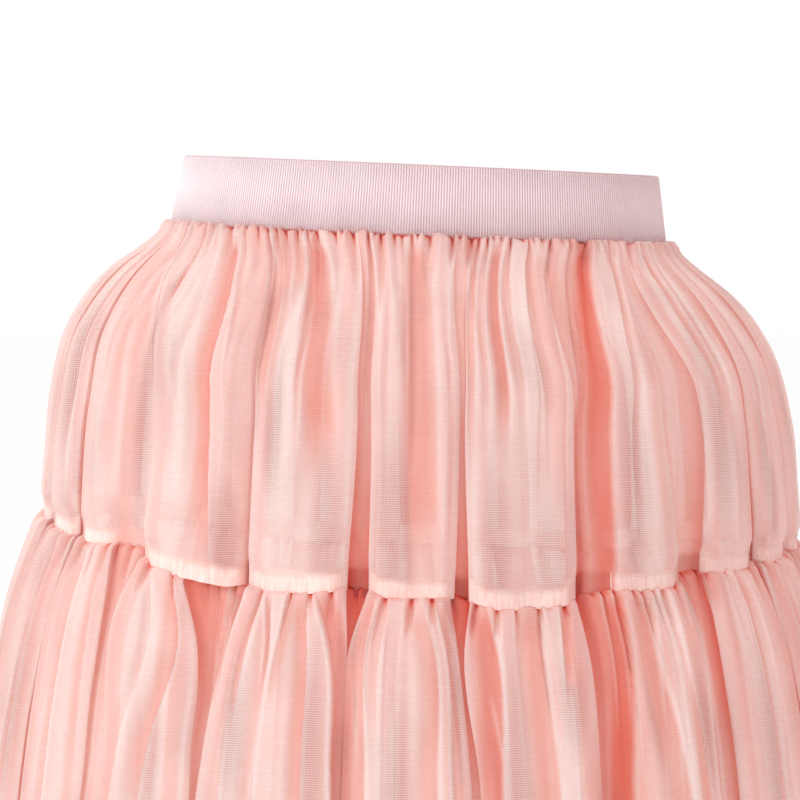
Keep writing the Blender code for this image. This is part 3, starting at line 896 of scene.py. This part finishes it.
def make_allowance(which, upper, material, seed):
    """The raw edges standing up inside the upper tier along the tier seam."""
    chance = np.random.default_rng(seed)
    count = upper.shape[1]
    depth = np.linalg.norm(upper[:, 0] - upper[-1, 0], axis=-1)
    order = np.argsort(depth)
    heights = np.linspace(0, ALLOWANCE_HEIGHT, ALLOWANCE_ROWS)
    lines = np.stack([np.stack([np.interp(h, depth[order], upper[order, j, k])
                                for k in range(3)]) for h in heights for j in range(count)])
    grid = lines.reshape(ALLOWANCE_ROWS, count, 3)
    along = np.gradient(grid, axis=1)
    inward = np.stack([-along[..., 1], along[..., 0]], axis=-1)
    inward /= np.maximum(np.linalg.norm(inward, axis=-1, keepdims=True), 1e-9)
    centre = grid[..., :2] / np.linalg.norm(grid[..., :2], axis=-1, keepdims=True)
    level = -np.sum(inward * centre, axis=-1, keepdims=True)
    least, most = ALLOWANCE_BEHIND
    grid[..., :2] += inward * (least + (most - least) * eased(0.2, 0.9, level))
    spare = np.pad(grid[..., :2], ((0, 0), (2, 2), (0, 0)), mode="edge")
    grid[..., :2] = sum(w * spare[:, k:k + count] for k, w in enumerate(SMOOTHING))
    turns = np.arange(0, count + CUT_STEP, CUT_STEP)
    slow = np.interp(np.arange(count), turns, chance.normal(0, CUT_SLOW, len(turns)))
    grid[-1, :, 2] += slow + chance.normal(0, CUT_FINE, count)
    piece = grid_mesh(f"tier_seam_{which}_allowance", grid[::-1], material)
    attach(piece, f"tier_seam_{which}")
    return piece, grid[-1, ::2]


def fray_tree():
    """Fine thread ends standing on each point of a raw edge, each leaning its own way."""
    tree = bpy.data.node_groups.new("frayed_edge", "GeometryNodeTree")
    ids = {"Edge": socket(tree, "Edge", "NodeSocketGeometry"),
           "Length": socket(tree, "Length", "NodeSocketFloat", 0.002),
           "Radius": socket(tree, "Radius", "NodeSocketFloat", 0.0002),
           "Seed": socket(tree, "Seed", "NodeSocketInt", 1),
           "Material": socket(tree, "Material", "NodeSocketMaterial")}
    tree.interface.new_socket("Geometry", in_out="OUTPUT", socket_type="NodeSocketGeometry")
    given = add_node(tree, "NodeGroupInput").outputs
    end = add_node(tree, "GeometryNodeMeshCone", values={"Vertices": 4, "Radius Top": 0.00004},
                   links={"Radius Bottom": given["Radius"], "Depth": given["Length"]}).outputs["Mesh"]
    lean = add_node(tree, "FunctionNodeRandomValue", {"data_type": "FLOAT_VECTOR"},
                    values={0: (-FRAY_LEAN, -FRAY_LEAN, 0.0), 1: (FRAY_LEAN, FRAY_LEAN, 3.1)},
                    links={"Seed": given["Seed"]}).outputs[0]
    size = add_node(tree, "FunctionNodeRandomValue", {"data_type": "FLOAT"},
                    values={2: 0.3, 3: 1.2}, links={"Seed": given["Seed"]}).outputs[1]
    ends = add_node(tree, "GeometryNodeInstanceOnPoints",
                    links={"Points": given["Edge"], "Instance": end, "Rotation": lean,
                           "Scale": size}).outputs[0]
    real = add_node(tree, "GeometryNodeRealizeInstances", links={"Geometry": ends}).outputs[0]
    done = add_node(tree, "GeometryNodeSetMaterial",
                    links={"Geometry": real, "Material": given["Material"]}).outputs[0]
    add_node(tree, "NodeGroupOutput", links={"Geometry": done})
    return tree, ids


def make_frays(which, edge, material, tree, ids, seed):
    """The thread ends along the top of the seam allowance."""
    mesh = bpy.data.meshes.new("edge")
    mesh.from_pydata(edge.tolist(), [], [])
    thing = bpy.data.objects.new(f"tier_seam_{which}_frays", mesh)
    bpy.context.scene.collection.objects.link(thing)
    run_nodes(thing, tree, {ids["Length"]: FRAY_LENGTH, ids["Radius"]: FRAY_RADIUS,
                            ids["Seed"]: seed, ids["Material"]: material})
    attach(thing, f"tier_seam_{which}")
    return thing


BAND_COLUMNS = 360
RIB_PITCH = 0.00152
RIB_RADIUS = 0.00058
RIB_PROUD = 0.00042
RIB_SHORT = 0.0012           # how much shorter a rib is than the band is high


def band_point(turn, height, inset=0.0):
    """A place on the waistband: turn in radians from the front, height from its middle."""
    narrower = BAND_NARROWS * (height / BAND_EDGE_Z + 1) / 2 + inset
    x = (BAND_HALF_WIDTH - narrower) * np.sin(turn)
    y = -(BAND_HALF_DEPTH - narrower) * np.cos(turn)
    return np.stack(np.broadcast_arrays(x + WORN_TILT * height, y, height - WORN_TILT * x), axis=-1)


def rib_tree():
    """Upright ribs at an even pitch round an oval, leaning in at the top and tilted with the waist."""
    tree = bpy.data.node_groups.new("elastic_ribs", "GeometryNodeTree")
    tree.interface.new_socket("Geometry", in_out="OUTPUT", socket_type="NodeSocketGeometry")
    ids = {"Count": socket(tree, "Count", "NodeSocketInt", 500),
           "Oval": socket(tree, "Oval", "NodeSocketVector"),
           "Radius": socket(tree, "Radius", "NodeSocketFloat", 0.0005),
           "Length": socket(tree, "Length", "NodeSocketFloat", 0.03),
           "Lean": socket(tree, "Lean", "NodeSocketVector"),
           "Tilt": socket(tree, "Tilt", "NodeSocketFloat", 0.0),
           "Material": socket(tree, "Material", "NodeSocketMaterial")}
    given = add_node(tree, "NodeGroupInput").outputs
    circle = add_node(tree, "GeometryNodeCurvePrimitiveCircle",
                      values={"Resolution": 360, "Radius": 1.0}).outputs["Curve"]
    spot = add_node(tree, "GeometryNodeInputPosition").outputs[0]
    oval_spot = add_node(tree, "ShaderNodeVectorMath", {"operation": "MULTIPLY"},
                         links={0: spot, 1: given["Oval"]}).outputs[0]
    oval = add_node(tree, "GeometryNodeSetPosition",
                    links={"Geometry": circle, "Position": oval_spot}).outputs[0]
    even = add_node(tree, "GeometryNodeResampleCurve",
                    links={"Curve": oval, "Count": given["Count"]}).outputs[0]
    rod = add_node(tree, "GeometryNodeMeshCylinder", values={"Vertices": 8},
                   links={"Radius": given["Radius"], "Depth": given["Length"]}).outputs["Mesh"]
    leaning = add_node(tree, "GeometryNodeTransform",
                       links={"Geometry": rod, "Rotation": given["Lean"]}).outputs[0]
    tangent = add_node(tree, "GeometryNodeInputTangent").outputs[0]
    turn = add_node(tree, "FunctionNodeAlignRotationToVector", {"axis": "X", "pivot_axis": "Z"},
                    links={"Vector": tangent}).outputs[0]
    ribs = add_node(tree, "GeometryNodeInstanceOnPoints",
                    links={"Points": even, "Instance": leaning, "Rotation": turn}).outputs[0]
    real = add_node(tree, "GeometryNodeRealizeInstances", links={"Geometry": ribs}).outputs[0]
    parts = add_node(tree, "ShaderNodeSeparateXYZ", links={"Vector": spot}).outputs
    over = add_node(tree, "ShaderNodeMath", {"operation": "MULTIPLY"},
                    links={0: parts["Z"], 1: given["Tilt"]}).outputs[0]
    fall = add_node(tree, "ShaderNodeMath", {"operation": "MULTIPLY"},
                    links={0: parts["X"], 1: given["Tilt"]}).outputs[0]
    down = add_node(tree, "ShaderNodeMath", {"operation": "MULTIPLY"}, values={1: -1.0},
                    links={0: fall}).outputs[0]
    move = add_node(tree, "ShaderNodeCombineXYZ", links={"X": over, "Z": down}).outputs[0]
    tilted = add_node(tree, "GeometryNodeSetPosition",
                      links={"Geometry": real, "Offset": move}).outputs[0]
    done = add_node(tree, "GeometryNodeSetMaterial",
                    links={"Geometry": tilted, "Material": given["Material"]}).outputs[0]
    add_node(tree, "NodeGroupOutput", links={"Geometry": done})
    return tree, ids


def make_ribs(material):
    """The warp ribs of the elastic, standing proud of its body."""
    sunk = BAND_NARROWS / 2 + RIB_RADIUS - RIB_PROUD
    oval = (BAND_HALF_WIDTH - sunk, BAND_HALF_DEPTH - sunk, 1.0)
    around = math.pi * (3 * (oval[0] + oval[1])
                        - math.sqrt((3 * oval[0] + oval[1]) * (oval[0] + 3 * oval[1])))
    tree, ids = rib_tree()
    thing = bpy.data.objects.new("waistband_ribs", bpy.data.meshes.new("waistband_ribs"))
    bpy.context.scene.collection.objects.link(thing)
    lean = -math.atan(BAND_NARROWS / (2 * BAND_EDGE_Z))
    run_nodes(thing, tree, {ids["Count"]: round(around / RIB_PITCH), ids["Oval"]: oval,
                            ids["Radius"]: RIB_RADIUS, ids["Length"]: 2 * BAND_EDGE_Z - RIB_SHORT,
                            ids["Lean"]: (lean, 0.0, 0.0), ids["Tilt"]: WORN_TILT,
                            ids["Material"]: material})
    thing.data.shade_smooth()
    attach(thing, "waistband")
    return thing


def make_waistband(material):
    """The elastic's body: a closed ring with softly rounded edges."""
    turns = np.linspace(0, 2 * math.pi, BAND_COLUMNS, endpoint=False)
    high, flat = BAND_EDGE_Z, BAND_EDGE_Z - BAND_ROUND
    near, far = BAND_ROUND, BAND_WALL - BAND_ROUND
    section = ((flat, 0.0), (0.0, 0.0), (-flat, 0.0), (-high, near), (-high, far), (-flat, BAND_WALL),
               (0.0, BAND_WALL), (flat, BAND_WALL), (high, far), (high, near), (flat, 0.0))
    grid = np.stack([band_point(turns, height, inset) for height, inset in section])
    piece = grid_mesh("waistband_elastic", grid, material, closed=True)
    shape = bmesh.new()
    shape.from_mesh(piece.data)
    bmesh.ops.remove_doubles(shape, verts=shape.verts, dist=1e-6)
    shape.to_mesh(piece.data)
    shape.free()
    attach(piece, "waistband")
    return piece


# ---------------------------------------------------------------- studio
CAMERA_DISTANCE = 2.5
CAMERA_LENS = 196.65
AIM_DOWN, AIM_LEFT = 2.62, 0.262     # degrees
FLOOR_Z = -1.0
KEY_PLACE, KEY_SIZE, KEY_WATTS = (-2.2, -1.7, 1.3), 1.4, 27
WALL_STRENGTH = 1.18


def make_camera():
    """A long lens at waist height, in front of the skirt."""
    data = bpy.data.cameras.new("camera")
    data.lens = CAMERA_LENS
    data.sensor_width = 36.0
    data.clip_end = 100.0
    camera = bpy.data.objects.new("camera", data)
    camera.location = (0, -CAMERA_DISTANCE, 0)
    camera.rotation_euler = (math.radians(90 - AIM_DOWN), 0, math.radians(AIM_LEFT))
    bpy.context.scene.collection.objects.link(camera)
    bpy.context.scene.camera = camera


def add_light(name, place, size, watts, aim=(0, 0, -0.15)):
    """A square soft box aimed at the skirt."""
    data = bpy.data.lights.new(name, "AREA")
    data.size = size
    data.energy = watts
    light = bpy.data.objects.new(name, data)
    light.location = place
    light.rotation_euler = (Vector(aim) - Vector(place)).to_track_quat("-Z", "Y").to_euler()
    bpy.context.scene.collection.objects.link(light)


def make_studio():
    """Pale floor, one soft box from the front on the -X side, and white walls that turn to a deep
    warm colour on the +X side, so that the folds have a shaded side."""
    bpy.ops.mesh.primitive_plane_add(size=60, location=(0, 0, FLOOR_Z))
    floor = bpy.context.object
    floor.name = "studio_floor"
    floor.data.materials.append(studio_material("matt_white_floor", "#f6fefe", 0.9))
    add_light("key", KEY_PLACE, KEY_SIZE, KEY_WATTS)
    world = bpy.data.worlds.new("studio")
    bpy.context.scene.world = world
    world.use_nodes = True
    tree = world.node_tree
    tree.nodes.clear()
    way = add_node(tree, "ShaderNodeTexCoord").outputs["Generated"]
    across = add_node(tree, "ShaderNodeSeparateXYZ", links={"Vector": way}).outputs["X"]
    share = add_node(tree, "ShaderNodeMapRange", values={"From Min": -1.0, "From Max": 1.0},
                     links={"Value": across}).outputs["Result"]
    walls = add_node(tree, "ShaderNodeValToRGB", links={"Fac": share})
    set_stops(walls, ((0.0, "#ffffff"), (0.55, "#ffffff"), (1.0, "#b4625c")))
    lit = add_node(tree, "ShaderNodeBackground", values={"Strength": WALL_STRENGTH},
                   links={"Color": walls.outputs["Color"]}).outputs[0]
    plain = add_node(tree, "ShaderNodeBackground", values={"Color": (1, 1, 1, 1)}).outputs[0]
    seen = add_node(tree, "ShaderNodeLightPath").outputs["Is Camera Ray"]
    sky = add_node(tree, "ShaderNodeMixShader", links={0: seen, 1: lit, 2: plain}).outputs[0]
    add_node(tree, "ShaderNodeOutputWorld", links={"Surface": sky})
    scene = bpy.context.scene
    scene.view_settings.view_transform = "Standard"
    scene.cycles.transparent_max_bounces = 24
    scene.cycles.diffuse_bounces = 8
    scene.cycles.max_bounces = 16


tulle = tulle_material()
tiers, grids = make_tiers(tulle)
allowance = allowance_material()
fray_nodes, fray_ids = fray_tree()
for which, seed in (("front", 31), ("back", 32)):
    strip, raw_edge = make_allowance(which, grids["upper_tier_" + which], allowance, seed)
    frays = make_frays(which, raw_edge, allowance, fray_nodes, fray_ids, seed)
# The ground gets darker colours than the ribs: painted shade in the grooves between the ribs
band = make_waistband(elastic_material("ribbed_elastic_ground", "#c8a8ad", "#d0b1b6"))
ribs = make_ribs(elastic_material("ribbed_elastic_ribs", "#e7d7da", "#ecdde0"))
make_camera()
make_studio()

bpy.context.view_layer.update()
